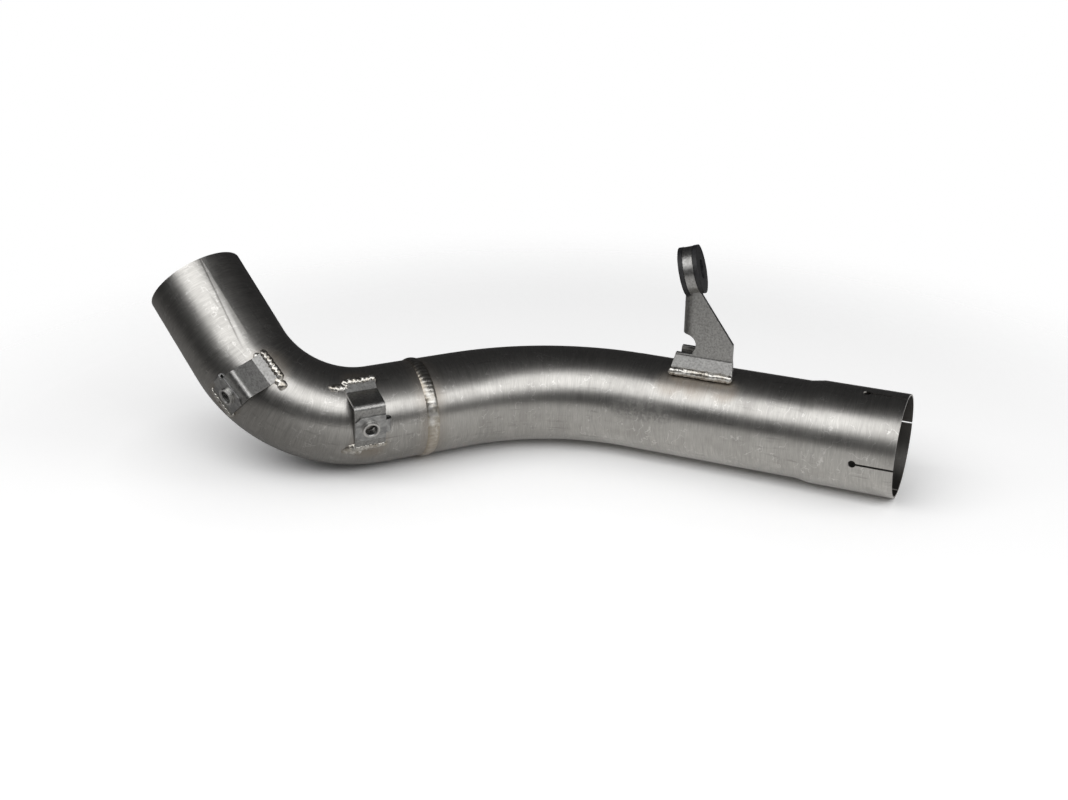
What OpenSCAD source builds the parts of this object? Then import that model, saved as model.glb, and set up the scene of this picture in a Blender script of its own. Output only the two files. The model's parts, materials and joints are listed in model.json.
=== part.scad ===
// Decat link pipe for a motorcycle exhaust.
// The outlet tube lies along X with its socket mouth at the origin, facing +X.
// From there the pipe runs towards -X, bends in the XY plane towards -Y,
// is welded to the elbow, and the elbow lifts out of that plane to the inlet.
// A station is a distance along the centre line, measured from the socket mouth.

/* [Tube] */
// Outside diameter of both tubes
tube_od = 50.8; // [44:0.1:60]
// Wall of both tubes
tube_wall = 1.0; // [0.8:0.1:2]

/* [Outlet tube] */
// Straight length from the socket mouth to the mid bend
outlet_straight = 142.5; // [132:0.5:180]
// Centre line radius of the mid bend
mid_bend_r = 115; // [80:1:160]
// Turn of the mid bend
mid_bend_angle = 48.5; // [20:0.5:75]
// Straight length between the mid bend and the joint weld
outlet_tail = 24; // [16:0.5:40]

/* [Socket] */
// Length of the parallel part of the socket
socket_len = 43; // [34:0.5:50]
// Length of the flare between the socket and the tube
socket_flare = 7; // [4:0.5:12]
// Radial clearance between the socket and a tube slid into it
socket_clearance = 0.15; // [0.05:0.01:0.4]
// Number of relief slots round the socket
slot_count = 4; // [2:1:6]
// Distance of each slot's end hole from the mouth
slot_len = 20; // [12:0.5:28]
// Width of a relief slot
slot_w = 1.1; // [0.8:0.1:2]
// Diameter of the hole that ends a slot
slot_hole_d = 3.8; // [2.5:0.1:6]
// Turn of the slots about the tube
slot_phase = -5; // [-45:1:45]

/* [Elbow tube] */
// Straight length between the joint weld and the elbow
elbow_lead = 24.5; // [16:0.5:40]
// Centre line radius of the elbow
elbow_r = 62; // [52:1:90]
// Turn of the elbow
elbow_angle = 73.5; // [60:0.5:90]
// Turn of the elbow's plane about the tube, from the mid bend's plane
elbow_roll = 135; // [110:1:160]
// Straight length of the inlet spigot
inlet_straight = 47; // [40:0.5:80]

/* [Joint weld] */
// Width of the weld bead round the joint
joint_bead_w = 6.4; // [4:0.1:9]
// Height of the weld bead over the tube
joint_bead_h = 0.9; // [0.4:0.1:1.6]

/* [Nut brackets] */
// Width of the bracket strip
strip_w = 16; // [14:0.5:20]
// Sheet thickness of the bracket strip
strip_t = 1.5; // [1:0.1:2.5]
// Inside radius of the strip's bends
strip_bend_r = 1.6; // [1:0.1:2.5]
// Length of the flat that carries the nut
plate_len = 24; // [22:0.5:30]
// Tilt of that flat away from the tube
plate_rise = 3; // [0:0.5:8]
// Angle round the tube from the flat's lower end to the foot
foot_reach = 62; // [58:1:70]
// Length of the welded foot
foot_len = 7; // [5:0.5:10]
// Depth to which a bracket's feet are trimmed to the round of the tube
seat_trim = 0.4; // [0.2:0.05:0.8]
// Diameter of the clearance hole under the nut
strip_hole_d = 7; // [6.4:0.1:8]

/* [Front bracket] */
// Turn round the elbow at which the front bracket sits
front_at = 58.4; // [50:0.1:62]
// Angle of its lower end round the tube
front_angle = 190; // [180:1:200]
// Turn of the bracket on the tube
front_twist = -12; // [-16:1:0]

/* [Rear bracket] */
// Turn round the elbow at which the rear bracket sits
rear_at = 8; // [4:0.1:14]
// Angle of its lower end round the tube
rear_angle = 212; // [204:1:220]
// Turn of the bracket on the tube
rear_twist = 8; // [0:1:14]

/* [Clip nuts] */
// Thread of the clip nuts, as the bolt's diameter
nut_thread_d = 6; // [5:1:6]
// Spring steel sheet thickness
clip_t = 0.9; // [0.7:0.1:1.2]
// Width of the upper leaf, along the flat
clip_w = 14.5; // [13:0.5:16]
// Width of the neck and the lower leaf
clip_neck_w = 8; // [7:0.5:10]
// Reach of the neck past the strip's edge
clip_reach = 3; // [2:0.5:5]
// Corner chamfer of the upper leaf
clip_chamfer = 3; // [2:0.1:3.5]
// Height of the threaded collar over the leaf
collar_h = 1.8; // [1:0.1:3]
// Wall of the threaded collar
collar_wall = 1.4; // [1:0.1:2]

/* [Hanger] */
// Station of the middle of the hanger's foot
hanger_station = 99.5; // [90:0.5:104]
// Sheet thickness of the hanger
hanger_t = 2; // [1.5:0.1:2.5]
// Outside width of the hanger's channel
channel_w = 13; // [12:0.5:16]
// How much further back the far side plate and flange end
far_setback = 7; // [0:0.5:8]
// Length of the near side plate at the foot
side_len = 21.5; // [18:0.5:26]
// Height of the side plates' foot over the top of the tube
side_foot_h = 8.2; // [7:0.1:11]
// Height of the straight front edge of a side plate
side_front_h = 8.2; // [4:0.1:12]
// Splay of the foot flanges from upright
flange_splay = 27.5; // [20:0.5:35]
// Reach of the flanges past the side plates, towards the joint weld
flange_reach = 8.5; // [6:0.5:12]
// Slant of the flanges' ends, which widen towards the tube
flange_slant = 11; // [0:1:20]
// Radius of the relief cut under the channel's round back
relief_r = 5.2; // [4:0.1:6]
// Distance of the relief cut's middle behind the side plates
relief_back = 3.3; // [2:0.1:4]

/* [Hanger eye] */
// Height of the eye's middle over the top of the tube
eye_h = 51.3; // [48:0.1:64]
// Distance of the eye's middle behind the side plates
eye_back = 3.8; // [2:0.1:6]
// Width of the eye band
eye_w = 5; // [4:0.1:7]
// Tilt of the eye's axis upwards
eye_tilt = 15; // [0:1:20]
// Turn of the eye's axis from the tube
eye_turn = 10; // [0:1:15]

/* [Grommet] */
// Diameter of the grommet's hole
grommet_hole_d = 10; // [8:0.5:12]
// Outside diameter of the grommet's lips
grommet_lip_d = 25; // [24:0.5:30]
// Diameter of the core inside the eye band
grommet_core_d = 20.4; // [18:0.1:22]
// Thickness of one lip
grommet_lip_t = 2.3; // [1.5:0.1:4]
// Clearance between the grommet and the eye band
grommet_gap = 0.1; // [0.05:0.05:0.3]

/* [Bracket welds] */
// Radius of a weld lump
lump_r = 2.2; // [1.8:0.1:3]
// Distance between weld lumps
lump_pitch = 2.3; // [1.6:0.1:3]

/* [Hidden] */
$fn = 96;
tube_r = tube_od / 2;
bore_r = tube_r - tube_wall;
socket_r = tube_r + socket_clearance;
socket_or = socket_r + tube_wall;
// Overlap that lets one cut run clear through a wall
past = 1;
// Overlap of a straight with the bend that follows it
lap = 0.1;
// How much the wall is drawn in on each side round a bend
bend_draw = 0.03;
// Largest turn of one step round a fold
fold_step = 7.5;
// Angle below level at which the relief cut's arc ends
relief_end = 45;
// Steps along the crown of one weld lump
lump_steps = 6;
// Clearance of a seat cut to the round of the bend
seat_gap = 0.05;
// Fineness of the round that seats are cut to
seat_fn = 360;

// Frames along the centre line: local X runs on along the tube, towards the inlet.

// Start of the mid bend, with local Y towards the inside of that bend
module at_mid_bend() translate([-outlet_straight, 0, 0]) rotate([0, 0, 180]) children();

// A point of the mid bend, a turn past its start
module round_mid_bend(turn)
    at_mid_bend()
    translate([mid_bend_r * sin(turn), mid_bend_r * (1 - cos(turn)), 0])
    rotate([0, 0, turn]) children();

// The joint between the two tubes
module at_joint() round_mid_bend(mid_bend_angle) translate([outlet_tail, 0, 0]) children();

// Start of the elbow, with local Y towards the inside of the elbow
module at_elbow() at_joint() translate([elbow_lead, 0, 0]) rotate([elbow_roll, 0, 0]) children();

// A point of the elbow, a turn past its start
module round_elbow(turn)
    at_elbow()
    translate([elbow_r * sin(turn), elbow_r * (1 - cos(turn)), 0])
    rotate([0, 0, turn]) children();

// A turn past the elbow's start, with local Z pointing out of the tube at an angle round it
module on_elbow(turn, angle) round_elbow(turn) rotate([angle - 90, 0, 0]) children();

// A station on the outlet's straight, with X and Z as the whole part's
module on_outlet(station) translate([-station, 0, 0]) children();

// Solid rod from the local origin along X
module rod(r, len) rotate([0, 90, 0]) cylinder(h = len, r = r);

// Straight tube from the local origin along X
module straight_tube(len) rotate([0, 90, 0]) linear_extrude(len) difference() {
    circle(tube_r);
    circle(bore_r);
}

// Bend that starts at the local origin along X and turns towards Y, of the section given
module bent(r, angle)
    translate([0, r, 0]) rotate([0, 0, -90])
    rotate_extrude(angle = angle) translate([r, 0]) children();

// Bent tube, its wall drawn a little thinner than the straights that it runs into
module bent_tube(r, angle) bent(r, angle) difference() {
    circle(tube_r - bend_draw);
    circle(bore_r + bend_draw);
}

// What the elbow tube's outside takes away from a piece that sits on it
module elbow_seat() {
    at_joint() rod(tube_r, elbow_lead + past);
    at_elbow() bent(elbow_r, elbow_angle, $fn = seat_fn) circle(tube_r + seat_gap, $fn = seat_fn);
    round_elbow(elbow_angle) translate([-past, 0, 0]) rod(tube_r, inlet_straight + past);
}

// What the outlet's outside takes away from a piece that sits on it
module outlet_seat() translate([-outlet_straight, 0, 0]) rod(tube_r, outlet_straight);

// Outlet's straight with its socket and flare, turned as one section
module outlet_barrel() {
    flare_end = socket_len + socket_flare;
    rotate([0, -90, 0]) rotate_extrude() polygon([
        [socket_r, 0], [socket_or, 0], [socket_or, socket_len], [tube_r, flare_end],
        [tube_r, outlet_straight + lap], [bore_r, outlet_straight + lap],
        [bore_r, flare_end], [socket_r, socket_len]
    ]);
}

// One relief slot with its end hole, cut from the axis outwards through the top
module relief_slot() {
    reach = socket_or + past;
    translate([-slot_len, -slot_w / 2, 0]) cube([slot_len + past, slot_w, reach]);
    translate([-slot_len, 0, 0]) cylinder(h = reach, d = slot_hole_d);
}

module outlet_tube() color("silver") {
    difference() {
        outlet_barrel();
        for (i = [0 : slot_count - 1])
            rotate([90 - slot_phase - i * 360 / slot_count, 0, 0]) relief_slot();
    }
    at_mid_bend() bent_tube(mid_bend_r, mid_bend_angle);
    round_mid_bend(mid_bend_angle) translate([-lap, 0, 0]) straight_tube(outlet_tail + lap);
}

module elbow_tube() color("silver") {
    at_joint() straight_tube(elbow_lead + lap);
    at_elbow() bent_tube(elbow_r, elbow_angle);
    round_elbow(elbow_angle) translate([-lap, 0, 0]) straight_tube(inlet_straight + lap);
}

// The bead has a round crown: an arc through its two toes and its top
module joint_weld() {
    crown_r = (pow(joint_bead_w / 2, 2) + pow(joint_bead_h, 2)) / (2 * joint_bead_h);
    color("gainsboro") at_joint() rotate([0, 90, 0]) rotate_extrude()
        difference() {
            translate([tube_r + joint_bead_h - crown_r, 0]) circle(crown_r);
            translate([tube_r - 3 * crown_r, -2 * crown_r]) square([3 * crown_r, 4 * crown_r]);
        }
}

// A plane vector turned by an angle
function turned(v, a) = [v[0] * cos(a) - v[1] * sin(a), v[0] * sin(a) + v[1] * cos(a)];

// Points along one face of a folded sheet, at a depth above its lower face.
// Flats and turns take turns; a turn above 0 folds towards the lower face.
function sheet_face(flats, turns, t, r, depth, i = 0, at = [0, 0], heading = 0) =
    let (
        up = turned([0, 1], heading),
        end = at + turned([flats[i], 0], heading),
        flat = [at + depth * up, end + depth * up]
    )
    i == len(turns) ? flat :
    let (
        hub = turns[i] > 0 ? end - r * up : end + (t + r) * up,
        steps = ceil(abs(turns[i]) / fold_step),
        arc = [for (k = [1 : steps - 1]) hub + turned(flat[1] - hub, -turns[i] * k / steps)]
    )
    concat(flat, arc, sheet_face(flats, turns, t, r, depth, i + 1,
        hub + turned(end - hub, -turns[i]), heading - turns[i]));

// Edge-on section of a folded sheet, from its first flat along X
module folded_sheet(flats, turns, t, r) {
    upper = sheet_face(flats, turns, t, r, t);
    polygon(concat(sheet_face(flats, turns, t, r, 0),
        [for (k = [len(upper) - 1 : -1 : 0]) upper[k]]));
}

// Nut bracket, in the tube's cross-section: X along the tube, Z out of it at the lower end.
// The flat leaves the tube at the lower end, the leg comes back to it, and the foot lies on it.
flat_end = [plate_len * cos(plate_rise), tube_r + plate_len * sin(plate_rise)];
foot_start = tube_r * [sin(foot_reach), cos(foot_reach)];
leg = flat_end - foot_start;
leg_turn = plate_rise + atan2(leg[1], -leg[0]);
foot_turn = leg_turn - plate_rise - foot_reach;
flat_setback = strip_bend_r * tan(leg_turn / 2);
foot_setback = (strip_bend_r + strip_t) * tan(foot_turn / 2);
nut_pos = plate_len / 2;

module bracket_strip()
    translate([0, 0, tube_r - seat_trim])
    rotate([0, 0, -90]) rotate([0, -plate_rise, 0]) difference() {
        translate([0, strip_w / 2, 0]) rotate([90, 0, 0]) linear_extrude(strip_w) folded_sheet(
            [plate_len - flat_setback, norm(leg) - flat_setback - foot_setback, foot_len],
            [leg_turn, -foot_turn], strip_t, strip_bend_r);
        translate([nut_pos, 0, -past]) cylinder(h = strip_t + 2 * past, d = strip_hole_d);
    }

// The bracket's own frame on the elbow, turned about the nut's axis
module bracket_frame(turn, angle, twist) {
    nut_angle = atan2(nut_pos, tube_r);
    on_elbow(turn, angle + nut_angle) rotate([0, 0, twist])
        rotate([-nut_angle, 0, 0]) children();
}

module front_frame() bracket_frame(front_at, front_angle, front_twist) children();
module rear_frame() bracket_frame(rear_at, rear_angle, rear_twist) children();

module nut_bracket() difference() {
    children();
    elbow_seat();
}

module front_bracket() color("lightgray")
    nut_bracket() front_frame() bracket_strip();

module rear_bracket() color("lightgray")
    nut_bracket() rear_frame() bracket_strip();

// Clip nut on the flat: upper leaf, neck over the strip's edge and lower leaf, with a collar.
// Local X is along the tube, Y down the flat, Z out of the flat's outer face.
module clip_nut() {
    thread_r = nut_thread_d / 2;
    collar_r = thread_r + collar_wall;
    leaf_edge = strip_w / 2;
    fold_r = strip_t / 2;
    neck_x = leaf_edge + clip_reach - fold_r - clip_t;
    difference() {
        union() {
            linear_extrude(clip_t) polygon([
                [leaf_edge, -clip_w / 2], [leaf_edge, clip_w / 2],
                [-leaf_edge + clip_chamfer, clip_w / 2], [-leaf_edge, clip_w / 2 - clip_chamfer],
                [-leaf_edge, -clip_w / 2 + clip_chamfer], [-leaf_edge + clip_chamfer, -clip_w / 2]
            ]);
            translate([0, -clip_neck_w / 2, 0]) cube([neck_x, clip_neck_w, clip_t]);
            translate([neck_x, clip_neck_w / 2, -fold_r]) rotate([90, 0, 0])
                rotate_extrude(angle = 180, start = -90)
                translate([fold_r, 0]) square([clip_t, clip_neck_w]);
            translate([-collar_r, -clip_neck_w / 2, -strip_t - clip_t])
                cube([neck_x + collar_r, clip_neck_w, clip_t]);
            cylinder(h = clip_t + collar_h, r = collar_r);
        }
        translate([0, 0, -past]) cylinder(h = clip_t + collar_h + 2 * past, r = thread_r);
        translate([0, 0, clip_t + collar_h - collar_wall / 3])
            cylinder(h = collar_wall, r1 = thread_r, r2 = thread_r + collar_wall);
        translate([0, 0, -strip_t - clip_t - past])
            cylinder(h = clip_t + 2 * past, d = strip_hole_d);
    }
}

// Places a clip nut on a bracket's flat, in the bracket's own frame
module on_flat()
    translate([0, 0, tube_r - seat_trim]) rotate([-plate_rise, 0, 0])
    translate([0, -nut_pos, strip_t]) children();

module front_clip_nut() color("gray") front_frame() on_flat() clip_nut();
module rear_clip_nut() color("gray") rear_frame() on_flat() mirror([1, 0, 0]) clip_nut();

// A row of weld lumps along X, centred on the local origin, turned as one body
module lump_row(len) {
    count = max(2, round(len / lump_pitch));
    pitch = len / count;
    meet = asin(pitch / 2 / lump_r);
    last = (count - 1) / 2;
    rotate([0, 90, 0]) rotate_extrude() polygon(concat(
        [for (i = [-last : last], k = [0 : lump_steps - 1])
            let (
                low = i == -last ? -90 : -meet,
                high = i == last ? 90 : meet,
                a = low + (high - low) * k / lump_steps
            ) [lump_r * cos(a), i * pitch + lump_r * sin(a)]],
        [[0, last * pitch + lump_r]]));
}

// Weld past the end of a bracket's foot, or under the end of its flat
module foot_bead() rotate([foot_reach, 0, 0])
    translate([0, -foot_len, tube_r]) lump_row(strip_w);

module end_bead() translate([0, lump_r / 4, tube_r - seat_trim]) lump_row(strip_w);

module front_foot_weld() color("gainsboro") difference() {
    front_frame() foot_bead();
    elbow_seat();
    front_frame() bracket_strip();
}

module front_end_weld() color("gainsboro") difference() {
    front_frame() end_bead();
    elbow_seat();
    front_frame() bracket_strip();
}

module rear_foot_weld() color("gainsboro") difference() {
    rear_frame() foot_bead();
    elbow_seat();
    rear_frame() bracket_strip();
}

module rear_end_weld() color("gainsboro") difference() {
    rear_frame() end_bead();
    elbow_seat();
    rear_frame() bracket_strip();
}

// Hanger, in the frame of its station: X along the tube towards the mouth, Z up.
channel_r = channel_w / 2;
back_x = -side_len / 2;
side_foot_z = tube_r + side_foot_h;
eye_z = tube_r + eye_h;
flange_top_r = norm([channel_r, side_foot_z]);
flange_lean = flange_splay - atan2(channel_r, side_foot_z);
flange_run = flange_top_r * cos(flange_lean)
    - sqrt(pow(tube_r, 2) - pow(flange_top_r * sin(flange_lean), 2));
flange_y = channel_r + flange_run * sin(flange_splay);
flange_z = side_foot_z - flange_run * cos(flange_splay);
eye_x = back_x - eye_back;
eye_in_r = grommet_core_d / 2 + grommet_gap;
eye_out_r = eye_in_r + hanger_t;
side_top_z = eye_z - eye_in_r / 2;
lip_r = grommet_lip_d / 2;
groove_x = eye_w / 2 + grommet_gap;
grommet_x = groove_x + grommet_lip_t;

module at_hanger() on_outlet(hanger_station) children();
module at_eye() at_hanger() translate([eye_x, 0, eye_z]) rotate([0, -eye_tilt, eye_turn]) children();

// Side view of a side plate and its half of the back: upright front edge, set back from
// the near plate's, slope up to the eye, and the relief under the back
module plate_outline(setback) {
    front = -back_x - setback;
    rear = back_x - channel_r - past;
    relief = [back_x - relief_back, side_foot_z + relief_r];
    arc = [for (a = [90 : -fold_step : -relief_end]) relief + relief_r * [cos(a), sin(a)]];
    polygon(concat(
        [[front, side_foot_z], [front, side_foot_z + side_front_h], [back_x - setback, side_top_z],
            [rear, side_top_z], [rear, relief[1] + relief_r]],
        arc, [[arc[len(arc) - 1][0], side_foot_z]]));
}

// The channel is one sheet bent round its back, each half cut to its own outline
module channel() intersection() {
    translate([-back_x, hanger_t - channel_r, side_foot_z]) rotate([0, 0, 180])
        linear_extrude(side_top_z - side_foot_z)
        folded_sheet([side_len, side_len], [180], hanger_t, channel_r - hanger_t);
    rotate([90, 0, 0]) union() {
        linear_extrude(channel_w) plate_outline(0);
        translate([0, 0, -channel_w]) linear_extrude(channel_w) plate_outline(far_setback);
    }
}

// Foot flange on the near side, set back from the near plate's front, folded out from its
// side plate and run on into the tube
module foot_flange(setback) {
    fold_run = hanger_t * tan(flange_splay / 2);
    rear = back_x - flange_reach;
    widen = side_foot_z * tan(flange_slant);
    intersection() {
        translate([rear - widen, -channel_r, side_foot_z]) rotate([0, 90, 0])
            linear_extrude(side_len + flange_reach + 2 * widen)
            folded_sheet([seat_trim, flange_run - fold_run], [flange_splay], hanger_t, hanger_t);
        rotate([90, 0, 0]) linear_extrude(tube_r) polygon([
            [rear, side_foot_z], [-back_x - setback, side_foot_z],
            [widen - back_x - setback, 0], [rear - widen, 0]
        ]);
    }
}

// Room for the grommet's lips on both sides of the eye band
module lip_room() for (side = [0, 1]) mirror([side, 0, 0])
    translate([eye_w / 2, 0, 0]) rod(lip_r + 2 * grommet_gap, grommet_x + grommet_gap - eye_w / 2);

module hanger_bracket() color("lightgray") difference() {
    union() {
        difference() {
            at_hanger() channel();
            at_eye() lip_room();
        }
        at_hanger() foot_flange(0);
        at_hanger() mirror([0, 1, 0]) foot_flange(far_setback);
        at_eye() translate([-eye_w / 2, 0, 0]) rod(eye_out_r, eye_w);
    }
    at_eye() translate([-eye_w / 2 - past, 0, 0]) rod(eye_in_r, eye_w + 2 * past);
    outlet_seat();
}

module hanger_grommet() {
    hole_r = grommet_hole_d / 2;
    core_r = grommet_core_d / 2;
    color("#222222") at_eye() rotate([0, 90, 0]) rotate_extrude() polygon([
        [hole_r, -grommet_x], [lip_r, -grommet_x], [lip_r, -groove_x], [core_r, -groove_x],
        [core_r, groove_x], [lip_r, groove_x], [lip_r, grommet_x], [hole_r, grommet_x]
    ]);
}

// Near weld along the foot of the flange, kept to the outer side of the sheet
module flange_bead(setback) difference() {
    translate([-(flange_reach + setback) / 2, -flange_y - lump_r / 3, flange_z])
        lump_row(side_len + flange_reach + hanger_t - setback);
    foot_flange(setback);
}

module hanger_weld_near() color("gainsboro") difference() {
    at_hanger() flange_bead(0);
    outlet_seat();
}

module hanger_weld_far() color("gainsboro") difference() {
    at_hanger() mirror([0, 1, 0]) flange_bead(far_setback);
    outlet_seat();
}

outlet_tube();
elbow_tube();
joint_weld();
hanger_bracket();
hanger_grommet();
hanger_weld_near();
hanger_weld_far();
front_bracket();
front_clip_nut();
front_foot_weld();
front_end_weld();
rear_bracket();
rear_clip_nut();
rear_foot_weld();
rear_end_weld();
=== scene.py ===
"""Studio picture of a motorcycle decat pipe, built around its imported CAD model."""
import json
import math

import bmesh
import bpy
from mathutils import Matrix, Vector


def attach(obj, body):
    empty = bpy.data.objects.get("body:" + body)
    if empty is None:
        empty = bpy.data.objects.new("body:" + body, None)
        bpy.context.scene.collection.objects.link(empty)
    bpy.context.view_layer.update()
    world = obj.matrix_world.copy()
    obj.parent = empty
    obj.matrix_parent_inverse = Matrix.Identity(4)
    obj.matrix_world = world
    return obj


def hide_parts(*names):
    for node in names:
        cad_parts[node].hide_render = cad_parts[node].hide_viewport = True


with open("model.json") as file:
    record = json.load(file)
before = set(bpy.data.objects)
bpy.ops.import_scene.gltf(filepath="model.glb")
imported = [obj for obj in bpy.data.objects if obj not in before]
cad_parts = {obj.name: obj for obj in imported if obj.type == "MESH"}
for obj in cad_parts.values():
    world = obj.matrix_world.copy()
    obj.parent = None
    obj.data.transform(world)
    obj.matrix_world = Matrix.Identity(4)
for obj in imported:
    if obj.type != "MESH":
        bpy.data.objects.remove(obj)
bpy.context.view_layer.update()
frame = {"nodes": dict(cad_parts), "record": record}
nodes = frame["nodes"]
mounts = {mount["name"]: mount for mount in frame["record"]["mounts"]}
WELDS = ("hanger_weld_near", "hanger_weld_far", "front_foot_weld", "front_end_weld",
         "rear_foot_weld", "rear_end_weld")

# Shape of the pipe, in metres, as in the CAD source
TUBE_R = 0.0254
MID_START, MID_R, MID_TURN = 0.1425, 0.115, math.radians(48.5)
TAIL, LEAD = 0.024, 0.0245
ELBOW_R, ELBOW_TURN, ELBOW_ROLL = 0.062, math.radians(73.5), math.radians(135)
SOCKET_R = 0.02655
JOINT = MID_START + MID_R * MID_TURN + TAIL
ELBOW_START = JOINT + LEAD


def shift(x, y, z):
    return Matrix.Translation((x, y, z))


def turn(angle, axis):
    return Matrix.Rotation(angle, 4, axis)


def round_bend(radius, angle):
    return shift(radius * math.sin(angle), radius * (1 - math.cos(angle)), 0) @ turn(angle, "Z")


AT_MID = shift(-MID_START, 0, 0) @ turn(math.pi, "Z")
AT_JOINT = AT_MID @ round_bend(MID_R, MID_TURN) @ shift(TAIL, 0, 0)
AT_ELBOW = AT_JOINT @ shift(LEAD, 0, 0) @ turn(ELBOW_ROLL, "X")


def box_middle(node):
    """Middle of the box round a piece of the CAD model."""
    corners = [nodes[node].matrix_world @ Vector(corner) for corner in nodes[node].bound_box]
    return sum(corners, Vector()) / len(corners)


# Small builders for shader nodes

class Shader:
    """A material with a Principled shader and short names for the nodes it uses."""

    def __init__(self, name):
        self.material = bpy.data.materials.new(name)
        self.material.use_nodes = True
        self.tree = self.material.node_tree
        self.surface = self.tree.nodes["Principled BSDF"]

    def node(self, kind, **settings):
        made = self.tree.nodes.new(kind)
        for key, value in settings.items():
            setattr(made, key, value)
        return made

    def put(self, socket, value):
        if isinstance(value, bpy.types.NodeSocket):
            self.tree.links.new(value, socket)
        else:
            socket.default_value = value

    def math(self, operation, a, b=0.0, c=0.0, clamp=False):
        made = self.node("ShaderNodeMath", operation=operation, use_clamp=clamp)
        for socket, value in zip(made.inputs, (a, b, c)):
            self.put(socket, value)
        return made.outputs[0]

    def place(self):
        return self.node("ShaderNodeTexCoord").outputs["Object"]

    def along(self, point, origin, axis):
        """Distance of a point from an origin, along an axis."""
        made = self.node("ShaderNodeVectorMath", operation="DOT_PRODUCT")
        self.put(made.inputs[0], point)
        made.inputs[1].default_value = axis
        return self.math("SUBTRACT", made.outputs["Value"], Vector(origin).dot(axis))

    def far(self, point, origin):
        made = self.node("ShaderNodeVectorMath", operation="DISTANCE")
        self.put(made.inputs[0], point)
        made.inputs[1].default_value = origin
        return made.outputs["Value"]

    def vector(self, x, y, z):
        made = self.node("ShaderNodeCombineXYZ")
        for socket, value in zip(made.inputs, (x, y, z)):
            self.put(socket, value)
        return made.outputs[0]

    def stretch(self, vector, scale):
        made = self.node("ShaderNodeVectorMath", operation="MULTIPLY")
        self.put(made.inputs[0], vector)
        made.inputs[1].default_value = scale
        return made.outputs["Vector"]

    def noise(self, vector, scale=1.0, detail=3.0, rough=0.55, warp=0.0):
        made = self.node("ShaderNodeTexNoise")
        self.put(made.inputs["Vector"], vector)
        made.inputs["Scale"].default_value = scale
        made.inputs["Detail"].default_value = detail
        made.inputs["Roughness"].default_value = rough
        made.inputs["Distortion"].default_value = warp
        return made.outputs["Fac"]

    def fade(self, value, low, high, to_low=0.0, to_high=1.0):
        made = self.node("ShaderNodeMapRange")
        made.interpolation_type = "SMOOTHSTEP"
        for socket, entry in zip(made.inputs, (value, low, high, to_low, to_high)):
            self.put(socket, entry)
        return made.outputs[0]

    def mix(self, amount, a, b):
        made = self.node("ShaderNodeMix", data_type="RGBA")
        self.put(made.inputs["Factor"], amount)
        colours = [s for s in made.inputs if s.type == "RGBA"]
        for socket, value in zip(colours, (a, b)):
            if isinstance(value, tuple) and len(value) == 3:
                value = value + (1.0,)
            self.put(socket, value)
        return [s for s in made.outputs if s.type == "RGBA"][0]

    def pick(self, choice, a, b):
        made = self.node("ShaderNodeMix", data_type="FLOAT")
        self.put(made.inputs["Factor"], choice)
        numbers = [s for s in made.inputs if s.type == "VALUE" and s.name in ("A", "B")]
        for socket, value in zip(numbers, (a, b)):
            self.put(socket, value)
        return [s for s in made.outputs if s.type == "VALUE"][0]

    def bump(self, height, strength, distance, under=None):
        made = self.node("ShaderNodeBump")
        self.put(made.inputs["Height"], height)
        made.inputs["Strength"].default_value = strength
        made.inputs["Distance"].default_value = distance
        if under is not None:
            self.put(made.inputs["Normal"], under)
        return made.outputs[0]

    def finish(self, colour, rough, normal=None, metal=1.0, specular=0.5):
        self.put(self.surface.inputs["Base Color"], colour)
        self.put(self.surface.inputs["Roughness"], rough)
        self.surface.inputs["Metallic"].default_value = metal
        self.surface.inputs["Specular IOR Level"].default_value = specular
        if normal is not None:
            self.put(self.surface.inputs["Normal"], normal)
        return self.material


def unbent(shader, start, radius, angle, station):
    """Station, straightened place and angle round the tube, for a bend with its straights."""
    point = shader.place()
    origin, axes = start.translation, [start.col[i].to_3d() for i in range(3)]
    after = start @ round_bend(radius, angle)
    x = shader.along(point, origin, axes[0])
    y = shader.along(point, origin, axes[1])
    z = shader.along(point, origin, axes[2])
    x_after = shader.along(point, after.translation, after.col[0].to_3d())
    y_after = shader.along(point, after.translation, after.col[1].to_3d())
    y_left = shader.math("SUBTRACT", radius, y)
    arc = shader.math("ARCTAN2", x, y_left)
    span = shader.math("SQRT", shader.math(
        "ADD", shader.math("MULTIPLY", x, x), shader.math("MULTIPLY", y_left, y_left)))
    in_bend = shader.math("GREATER_THAN", x, 0.0)
    past = shader.math("GREATER_THAN", x_after, 0.0)
    s = shader.pick(in_bend, shader.math("ADD", x, station),
                    shader.math("MULTIPLY_ADD", arc, radius, station))
    s = shader.pick(past, s, shader.math("ADD", x_after, station + radius * angle))
    side = shader.pick(in_bend, y, shader.math("SUBTRACT", radius, span))
    side = shader.pick(past, side, y_after)
    return s, side, z, shader.math("ARCTAN2", z, side)


def near(shader, value, middle, reach):
    """1 at a value, fading to 0 at a distance from it."""
    return shader.fade(shader.math("ABSOLUTE", shader.math("SUBTRACT", value, middle)),
                       0.0, reach, 1.0, 0.0)


def weld_tint(shader, point, spots):
    """Brown heat tint round weld middles, each a place and a reach."""
    total = None
    for place, reach in spots:
        one = shader.fade(shader.far(point, place), reach * 0.45, reach, 1.0, 0.0)
        total = one if total is None else shader.math("MAXIMUM", total, one)
    return total


STEEL = (0.50, 0.488, 0.465)
DARK_STEEL = (0.33, 0.322, 0.307)
TINT = (0.30, 0.235, 0.17)
INSIDE_SHADE = (0.10, 0.095, 0.088)


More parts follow.
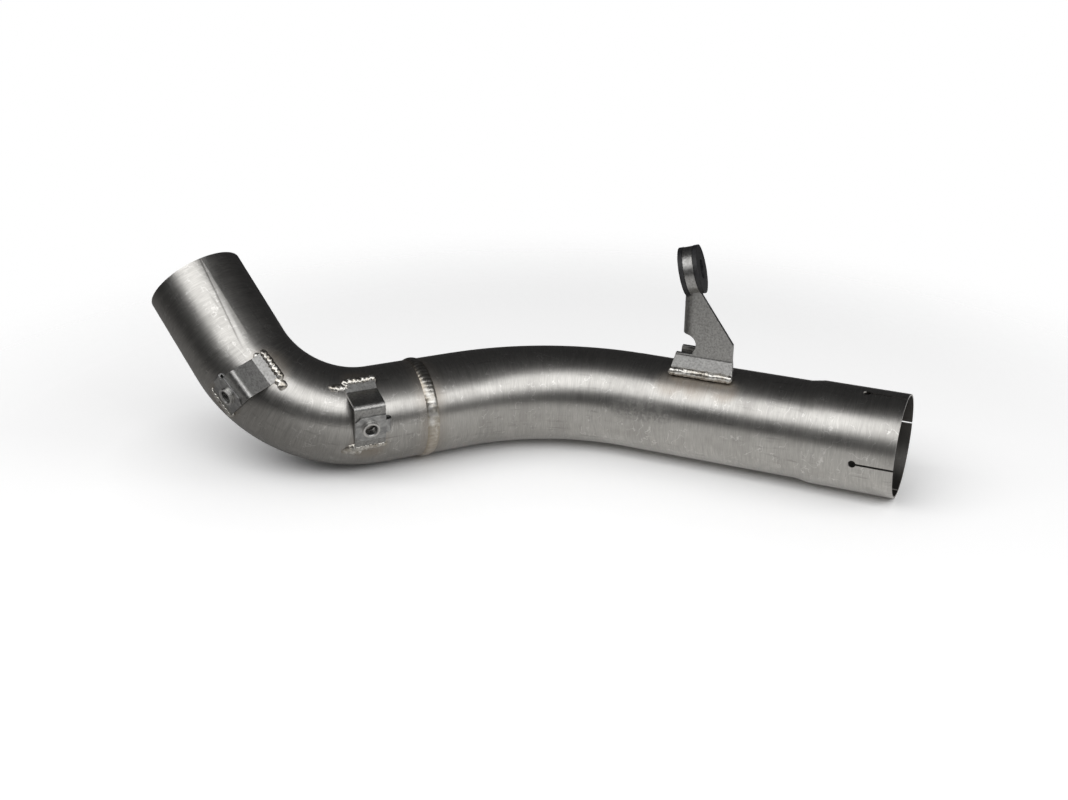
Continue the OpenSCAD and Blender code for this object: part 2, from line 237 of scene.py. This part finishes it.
def tube_steel(name, start, radius, angle, station, spots, seam=None, dull=None):
    m = Shader(name)
    s, y, z, a = unbent(m, start, radius, angle, station)
    flat = m.vector(s, y, z)
    fine = m.noise(m.stretch(flat, (2600.0, 160.0, 160.0)), 1.0, 4.0, 0.6)
    cross = m.noise(m.stretch(flat, (700.0, 45.0, 45.0)), 1.0, 3.0, 0.6, 0.3)
    lines = m.noise(m.stretch(flat, (30.0, 1500.0, 1500.0)), 1.0, 4.0, 0.6)
    cloud = m.noise(flat, 45.0, 4.0, 0.6, 0.4)
    patch = m.noise(flat, 110.0, 2.0, 0.5, 1.0)
    grain = m.math("ADD", m.math("MULTIPLY", fine, 0.7), m.math("MULTIPLY", cross, 0.3))
    tone = m.mix(m.fade(grain, 0.25, 0.75), DARK_STEEL, STEEL)
    tone = m.mix(m.math("MULTIPLY", m.fade(cloud, 0.42, 0.72), 0.5), tone, (0.29, 0.28, 0.265))
    scratch = m.node("ShaderNodeTexWave", wave_type="BANDS", bands_direction="DIAGONAL")
    m.put(scratch.inputs["Vector"], m.stretch(flat, (60.0, 75.0, 50.0)))
    scratch.inputs["Scale"].default_value = 1.3
    scratch.inputs["Distortion"].default_value = 16.0
    scratch.inputs["Detail"].default_value = 3.0
    scratch.inputs["Detail Scale"].default_value = 1.4
    marks = m.math("MULTIPLY", m.fade(scratch.outputs["Fac"], 0.965, 1.0),
                   m.fade(patch, 0.46, 0.58))
    tone = m.mix(m.math("MULTIPLY", marks, 0.55), tone, (0.66, 0.65, 0.63))
    streak = m.noise(m.stretch(flat, (28.0, 420.0, 420.0)), 1.0, 4.0, 0.65, 0.4)
    streak = m.math("MULTIPLY", m.fade(streak, 0.54, 0.72), m.fade(patch, 0.38, 0.6))
    tone = m.mix(m.math("MULTIPLY", streak, 0.45), tone, (0.20, 0.194, 0.184))
    rough = m.math("MULTIPLY_ADD", grain, 0.12, 0.18)
    rough = m.math("MULTIPLY_ADD", cloud, 0.16, rough)
    heat = weld_tint(m, m.place(), spots)
    heat = m.math("MAXIMUM", heat, m.math("MULTIPLY", near(m, s, JOINT, 0.0115), 0.85))
    heat = m.math("MULTIPLY", heat, m.fade(cloud, 0.25, 0.7, 0.45, 1.0), clamp=True)
    tone = m.mix(m.math("MULTIPLY", heat, 0.5), tone, TINT)
    rough = m.math("MULTIPLY_ADD", heat, 0.12, rough)
    height = m.math("ADD", m.math("MULTIPLY", fine, 0.5), m.math("MULTIPLY", lines, 0.25))
    height = m.math("MULTIPLY_ADD", cross, 0.16, height)
    height = m.math("MULTIPLY_ADD", marks, -0.5, height)
    if seam is not None:
        first, where, drift = seam
        here = m.math("SUBTRACT", a, m.math("MULTIPLY_ADD", s, drift, where - first * drift))
        on = m.fade(s, first - 0.012, first + 0.004)
        band = m.math("MULTIPLY", near(m, here, 0.0, 0.06), on)
        edge = m.math("MULTIPLY", near(m, here, -0.07, 0.03), on)
        tone = m.mix(m.math("MULTIPLY", band, 0.5), tone, (0.58, 0.57, 0.55))
        tone = m.mix(m.math("MULTIPLY", edge, 0.6), tone, (0.12, 0.115, 0.11))
        height = m.math("MULTIPLY_ADD", edge, -2.0, height)
        height = m.math("MULTIPLY_ADD", band, 0.7, height)
    if dull is not None:
        middle, round_at = dull
        long = m.math("DIVIDE", m.math("SUBTRACT", s, middle), 0.022)
        wide = m.math("DIVIDE", m.math("SUBTRACT", a, round_at), 0.25)
        spot = m.fade(m.math("ADD", m.math("MULTIPLY", long, long),
                             m.math("MULTIPLY", wide, wide)), 0.3, 1.2, 1.0, 0.0)
        cells = m.noise(flat, 520.0, 2.0, 0.5)
        peen = m.math("MULTIPLY", spot, m.fade(cells, 0.42, 0.58))
        tone = m.mix(m.math("MULTIPLY", peen, 0.5), tone, (0.23, 0.225, 0.215))
        height = m.math("MULTIPLY_ADD", peen, 1.6, height)
        rough = m.math("MULTIPLY_ADD", spot, 0.08, rough)
    # Painted shade inside the bore: the tube's inner wall is near black there, and rougher
    span = m.math("SQRT", m.math("ADD", m.math("MULTIPLY", y, y), m.math("MULTIPLY", z, z)))
    flare = m.fade(s, 0.043, 0.05, 0.00115, 0.0)
    inner = m.fade(m.math("SUBTRACT", span, flare), 0.0245, 0.0249, 1.0, 0.0)
    tone = m.mix(m.math("MULTIPLY", inner, 0.85), tone, INSIDE_SHADE)
    rough = m.math("MULTIPLY_ADD", inner, 0.15, rough)
    return m.finish(tone, rough, m.bump(height, 0.16, 0.00006))


def sheet_steel():
    m = Shader("sheet_steel")
    point = m.place()
    grit = m.noise(point, 900.0, 4.0, 0.7)
    broad = m.noise(point, 130.0, 3.0, 0.6, 0.5)
    roll = m.noise(m.stretch(point, (90.0, 90.0, 1700.0)), 1.0, 3.0, 0.6)
    tone = m.mix(m.fade(grit, 0.3, 0.7), (0.23, 0.227, 0.22), (0.42, 0.416, 0.405))
    tone = m.mix(m.math("MULTIPLY", m.fade(broad, 0.5, 0.75), 0.4), tone, (0.25, 0.245, 0.235))
    edge = m.node("ShaderNodeBevel", samples=4)
    edge.inputs["Radius"].default_value = 0.0004
    rough = m.math("MULTIPLY_ADD", grit, 0.22, 0.26)
    height = m.math("MULTIPLY_ADD", roll, 0.4, m.math("MULTIPLY", grit, 0.7))
    return m.finish(tone, rough, m.bump(height, 0.4, 0.00008, edge.outputs[0]))


def weld_metal(name, ripples=0):
    """Bright weld with brown in its hollows; with ripples round the tube for the joint."""
    m = Shader(name)
    point = m.place()
    broad = m.noise(point, 260.0, 3.0, 0.6, 0.6)
    fine = m.noise(point, 1500.0, 3.0, 0.6)
    tone = m.mix(m.fade(broad, 0.35, 0.65), (0.40, 0.37, 0.32), (0.70, 0.685, 0.65))
    tone = m.mix(m.math("MULTIPLY", m.fade(fine, 0.6, 0.75), 0.3), tone, (0.20, 0.15, 0.10))
    rough = m.math("MULTIPLY_ADD", broad, 0.22, 0.2)
    height = m.math("MULTIPLY_ADD", broad, 0.8, m.math("MULTIPLY", fine, 0.3))
    if ripples:
        origin, axes = AT_JOINT.translation, [AT_JOINT.col[i].to_3d() for i in range(3)]
        x, y, z = [m.along(point, origin, axis) for axis in axes]
        bow = m.math("MULTIPLY", m.math("MULTIPLY", x, x), 90000.0)
        phase = m.math("ADD", m.math("MULTIPLY", m.math("ARCTAN2", z, y), float(ripples)),
                       m.math("MULTIPLY_ADD", broad, 3.0, bow))
        wave = m.math("MULTIPLY_ADD", m.math("SINE", phase), 0.5, 0.5)
        # Painted shade: the joint's bead is darker at its top and beige lower down, by height, and
        # its ripples' hollows darken more at the top
        high = m.along(point, origin, Vector((0.0, 0.0, 1.0)))
        top = m.fade(high, 0.008, 0.021)
        tone = m.mix(m.math("MULTIPLY", m.fade(high, 0.004, -0.012), 0.6), tone, (0.46, 0.40, 0.32))
        tone = m.mix(m.math("MULTIPLY", top, 0.55), tone, (0.24, 0.23, 0.21))
        dip = m.math("MULTIPLY", m.fade(wave, 0.5, 0.0), m.math("MULTIPLY_ADD", top, 0.4, 0.12))
        tone = m.mix(dip, tone, (0.15, 0.13, 0.11))
        height = m.math("MULTIPLY_ADD", m.math("MULTIPLY_ADD", top, 0.3, 0.2), wave, height)
        side = m.fade(m.math("ABSOLUTE", x), 0.0018, 0.0032)
        tone = m.mix(m.math("MULTIPLY", side, 0.5), tone, (0.34, 0.29, 0.22))
    return m.finish(tone, rough, m.bump(height, 0.5, 0.00025))


THREAD_PITCH = 0.001


def clip_steel(name, mount):
    """Spring steel with a painted highlight on the collar's rim, and the thread's turns in its hole.
    """
    m = Shader(name)
    point = m.place()
    origin, thread_r = mount["pos_m"], mount["dims"]["r_mm"] / 1000
    deep = m.along(point, origin, Vector(mount["axis"]))
    apart = m.far(point, origin)
    out = m.math("SQRT", m.math("MAXIMUM", m.math("SUBTRACT", m.math("MULTIPLY", apart, apart),
                                                  m.math("MULTIPLY", deep, deep)), 0.0))
    painted_rim_highlight = near(m, out, thread_r + 0.001, 0.0011)
    bore = m.fade(out, thread_r + 0.0001, thread_r - 0.0001)
    turns = m.math("SINE", m.math("MULTIPLY", deep, 2 * math.pi / THREAD_PITCH))
    broad = m.noise(point, 220.0, 4.0, 0.65, 0.4)
    fine = m.noise(point, 1300.0, 3.0, 0.6)
    edge = m.node("ShaderNodeBevel", samples=4)
    edge.inputs["Radius"].default_value = 0.0004
    tone = m.mix(m.fade(broad, 0.35, 0.7), (0.27, 0.27, 0.27), (0.52, 0.52, 0.51))
    tone = m.mix(m.math("MULTIPLY", m.fade(fine, 0.62, 0.72), 0.5), tone, (0.5, 0.49, 0.47))
    # Painted highlight: the collar is lighter in a ring round the hole
    tone = m.mix(m.math("MULTIPLY", painted_rim_highlight, 0.75), tone, (0.72, 0.71, 0.68))
    # Painted shade: the hole is near black, in bands along the thread's turns
    tone = m.mix(m.math("MULTIPLY", bore, m.fade(turns, 0.6, -0.4)), tone, (0.05, 0.05, 0.045))
    rough = m.math("MULTIPLY_ADD", broad, 0.2, 0.26)
    height = m.math("MULTIPLY_ADD", m.math("MULTIPLY", turns, bore), 2.5, fine)
    return m.finish(tone, rough, m.bump(height, 0.4, 0.00008, edge.outputs[0]))


def rubber():
    m = Shader("rubber")
    point = m.place()
    broad = m.noise(point, 300.0, 3.0, 0.6)
    fine = m.noise(point, 2200.0, 2.0, 0.6)
    edge = m.node("ShaderNodeBevel", samples=4)
    edge.inputs["Radius"].default_value = 0.0006
    tone = m.mix(m.fade(broad, 0.3, 0.75), (0.010, 0.010, 0.011), (0.028, 0.028, 0.03))
    rough = m.math("MULTIPLY_ADD", broad, 0.25, 0.42)
    return m.finish(tone, rough, m.bump(fine, 0.3, 0.0001, edge.outputs[0]), 0.0, 0.5)


def dress(node, material):
    mesh = nodes[node].data
    mesh.materials.clear()
    mesh.materials.append(material)


# Heat marks, each a place and a reach: along the hanger's feet, and at the welds on the elbow
OUTLET_SPOTS = [((-0.090, -0.015, 0.021), 0.010), ((-0.104, -0.015, 0.021), 0.011),
                ((-0.118, -0.015, 0.021), 0.011), ((-0.097, 0.015, 0.021), 0.010),
                ((-0.115, 0.015, 0.021), 0.011)]
ELBOW_SPOTS = [(box_middle("rear_end_weld"), 0.013), (box_middle("rear_foot_weld"), 0.012),
               (box_middle("front_end_weld"), 0.013), (box_middle("front_foot_weld"), 0.013)]
outlet_steel = tube_steel("tube_steel", AT_MID, MID_R, MID_TURN, MID_START, OUTLET_SPOTS,
                          dull=(0.131, 0.21))
elbow_steel = tube_steel("tube_steel_elbow", AT_ELBOW, ELBOW_R, ELBOW_TURN, ELBOW_START,
                         ELBOW_SPOTS, seam=(0.3695, -1.71, 4.15))
sheet, black = sheet_steel(), rubber()
weld, joint = weld_metal("weld_metal"), weld_metal("joint_weld_metal", ripples=68)
dress("outlet_tube", outlet_steel)
dress("elbow_tube", elbow_steel)
dress("joint_weld", joint)
for name in ("hanger_bracket", "front_bracket", "rear_bracket"):
    dress(name, sheet)
for name in WELDS:
    dress(name, weld)
dress("front_clip_nut", clip_steel("clip_steel", mounts["front_nut"]))
dress("rear_clip_nut", clip_steel("clip_steel_rear", mounts["rear_nut"]))
dress("hanger_grommet", black)


# Where beads on the elbow run on and end in smooth lumps: rows from one place to another, each place
# a turn along the elbow and an angle round it, in degrees, and the radius of each lump in metres
RUN_ON = {
    "front_foot_weld": [((45.5, -104.5), (48.0, -103.0), (0.0032, 0.0026)),
                        ((62.0, -97.0), (59.5, -96.5), (0.0024, 0.0020))],
    "rear_foot_weld": [((24.5, -84.0), (17.5, -79.0), (0.0026, 0.0030, 0.0028, 0.0024))],
    "rear_end_weld": [((15.0, -158.0), (12.5, -152.5), (0.0028, 0.0030, 0.0026)),
                      ((12.5, -159.5), (10.5, -159.5), (0.0026, 0.0020))],
}
# Share of a lump's radius by which its middle lies under the tube's skin
SUNK = 0.66
# Grid, swell and grain of the uneven beads, in metres, and rounds of smoothing
BEAD_GRID, BEAD_SWELL, BEAD_GRAIN, BEAD_SOFT = 0.00024, 0.0008, 0.003, 16


def on_elbow(along, round_at, depth):
    """Place on the elbow, from its turn and the angle round it, in degrees."""
    angle = math.radians(round_at)
    return (AT_ELBOW @ round_bend(ELBOW_R, math.radians(along))
            @ Vector((0, depth * math.cos(angle), depth * math.sin(angle))))


def end_lumps(bead, node):
    for first, last, radii in RUN_ON.get(node, []):
        for number, radius in enumerate(radii):
            share = number / (len(radii) - 1)
            along, round_at = [a + (b - a) * share for a, b in zip(first, last)]
            place = on_elbow(along, round_at, TUBE_R - SUNK * radius)
            bmesh.ops.create_icosphere(bead, subdivisions=3, radius=radius,
                                       matrix=Matrix.Translation(place))


def lumpy(node, material):
    """Stands for a weld of the CAD model with the same bead, softened and made uneven."""
    piece = bpy.data.objects.new(node + "_bead", nodes[node].data.copy())
    bpy.context.collection.objects.link(piece)
    bead = bmesh.new()
    bead.from_mesh(piece.data)
    end_lumps(bead, node)
    bead.to_mesh(piece.data)
    bead.free()
    even = piece.modifiers.new("even", "REMESH")
    even.mode, even.voxel_size, even.use_smooth_shade = "VOXEL", BEAD_GRID, True
    soft = piece.modifiers.new("soft", "SMOOTH")
    soft.factor, soft.iterations = 0.5, BEAD_SOFT
    lumps = bpy.data.textures.new(node + "_lumps", "CLOUDS")
    lumps.noise_scale, lumps.noise_depth = BEAD_GRAIN, 2
    push = piece.modifiers.new("lumps", "DISPLACE")
    push.texture, push.texture_coords = lumps, "LOCAL"
    push.strength, push.mid_level = BEAD_SWELL, 0.3
    solid = bpy.data.meshes.new_from_object(
        piece.evaluated_get(bpy.context.evaluated_depsgraph_get()))
    piece.modifiers.clear()
    piece.data = solid
    solid.materials.clear()
    solid.materials.append(material)
    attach(piece, "root")
    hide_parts(node)


for name in WELDS:
    lumpy(name, weld)


# Floor, light and camera

def floor():
    mesh = bpy.data.meshes.new("floor")
    size = 2.2
    low = -SOCKET_R - 0.0001
    mesh.from_pydata([(-size - 0.15, -size, low), (size - 0.15, -size, low),
                      (size - 0.15, size, low), (-size - 0.15, size, low)], [], [(0, 1, 2, 3)])
    made = bpy.data.objects.new("floor", mesh)
    bpy.context.collection.objects.link(made)
    m = Shader("floor")
    speck = m.noise(m.place(), 60.0, 3.0, 0.6)
    seen = m.node("ShaderNodeLightPath")
    middle = (-0.16, -0.05, low)
    apart = m.far(m.place(), middle)
    left = m.along(m.place(), middle, Vector((1.0, 0.0, 0.0)))
    # In reflections the floor is darker further off and at the left, where less light falls
    tone = m.mix(m.fade(speck, 0.3, 0.7), (0.80, 0.79, 0.77), (0.83, 0.82, 0.80))
    tone = m.mix(m.fade(left, 0.04, -0.16), tone, (0.36, 0.353, 0.345))
    tone = m.mix(m.fade(apart, 0.22, 0.62), tone, (0.07, 0.07, 0.07))
    tone = m.mix(seen.outputs["Is Camera Ray"], tone, (0.97, 0.97, 0.97))
    # Close under the pipe the floor glows less, so its shadow stays and is deepened there as a
    # painted shadow
    open_sky = m.node("ShaderNodeAmbientOcclusion", samples=4)
    open_sky.inputs["Distance"].default_value = 0.07
    clear_of = m.fade(open_sky.outputs["AO"], 0.25, 1.0, 0.0, 0.35)
    glow = m.math("MULTIPLY", seen.outputs["Is Camera Ray"], clear_of)
    # Painted light in reflections: there the floor glows, less at the left and further off
    shown = m.math("MULTIPLY", m.fade(apart, 0.22, 0.62, 0.23, 0.0),
                   m.fade(left, -0.15, 0.03, 0.12, 1.0))
    glow = m.math("MULTIPLY_ADD", seen.outputs["Is Glossy Ray"], shown, glow)
    m.put(m.surface.inputs["Emission Strength"], glow)
    m.surface.inputs["Emission Color"].default_value = (1.0, 1.0, 1.0, 1.0)
    m.finish(tone, 0.9, m.bump(speck, 0.02, 0.001), 0.0, 0.0)
    # Seen by the camera, the floor fades into the white of the background away from the pipe
    clear = m.node("ShaderNodeBsdfTransparent")
    away = m.fade(apart, 0.26, 0.46)
    mix = m.node("ShaderNodeMixShader")
    m.put(mix.inputs["Fac"], m.math("MULTIPLY", away, seen.outputs["Is Camera Ray"]))
    m.put(mix.inputs[1], m.surface.outputs[0])
    m.put(mix.inputs[2], clear.outputs[0])
    m.put(m.tree.nodes["Material Output"].inputs["Surface"], mix.outputs[0])
    mesh.materials.append(m.material)


def softbox(name, place, target, width, height, power):
    lamp = bpy.data.lights.new(name, "AREA")
    lamp.shape, lamp.size, lamp.size_y = "RECTANGLE", width, height
    lamp.energy = power
    made = bpy.data.objects.new(name, lamp)
    made.location = place
    made.rotation_euler = (Vector(target) - Vector(place)).to_track_quat("-Z", "Y").to_euler()
    bpy.context.collection.objects.link(made)


def surroundings():
    world = bpy.data.worlds.new("studio")
    bpy.context.scene.world = world
    world.use_nodes = True
    tree = world.node_tree
    tree.nodes.clear()
    out = tree.nodes.new("ShaderNodeOutputWorld")
    dark = tree.nodes.new("ShaderNodeBackground")
    dark.inputs["Color"].default_value = (0.035, 0.035, 0.036, 1.0)
    white = tree.nodes.new("ShaderNodeBackground")
    white.inputs["Color"].default_value = (1.0, 1.0, 1.0, 1.0)
    seen = tree.nodes.new("ShaderNodeLightPath")
    mix = tree.nodes.new("ShaderNodeMixShader")
    tree.links.new(seen.outputs["Is Camera Ray"], mix.inputs["Fac"])
    tree.links.new(dark.outputs[0], mix.inputs[1])
    tree.links.new(white.outputs[0], mix.inputs[2])
    tree.links.new(mix.outputs[0], out.inputs["Surface"])


def camera():
    data = bpy.data.cameras.new("camera")
    made = bpy.data.objects.new("camera", data)
    bpy.context.collection.objects.link(made)
    azimuth, dip, roll = math.radians(-23.2569), math.radians(23.1933), math.radians(0.5301)
    ahead = Vector((math.sin(azimuth) * math.cos(dip), math.cos(azimuth) * math.cos(dip),
                    -math.sin(dip)))
    level = Vector((math.cos(azimuth), -math.sin(azimuth), 0.0))
    up = level.cross(ahead)
    right = level * math.cos(roll) + up * math.sin(roll)
    up = up * math.cos(roll) - level * math.sin(roll)
    made.matrix_world = Matrix((
        (right.x, up.x, -ahead.x, 0.082088),
        (right.y, up.y, -ahead.y, -0.659389),
        (right.z, up.z, -ahead.z, 0.296834),
        (0.0, 0.0, 0.0, 1.0)))
    data.sensor_width, data.lens = 36.0, 47.353
    data.clip_start, data.clip_end = 0.01, 50.0
    bpy.context.scene.camera = made


floor()
softbox("key", (-0.20, -0.84, 1.10), (-0.18, -0.05, 0.0), 2.8, 1.0, 18.5)
softbox("side", (1.50, -0.15, 1.05), (-0.18, -0.05, 0.0), 1.9, 0.9, 11.0)
surroundings()
camera()
bpy.context.scene.view_settings.view_transform = "Standard"
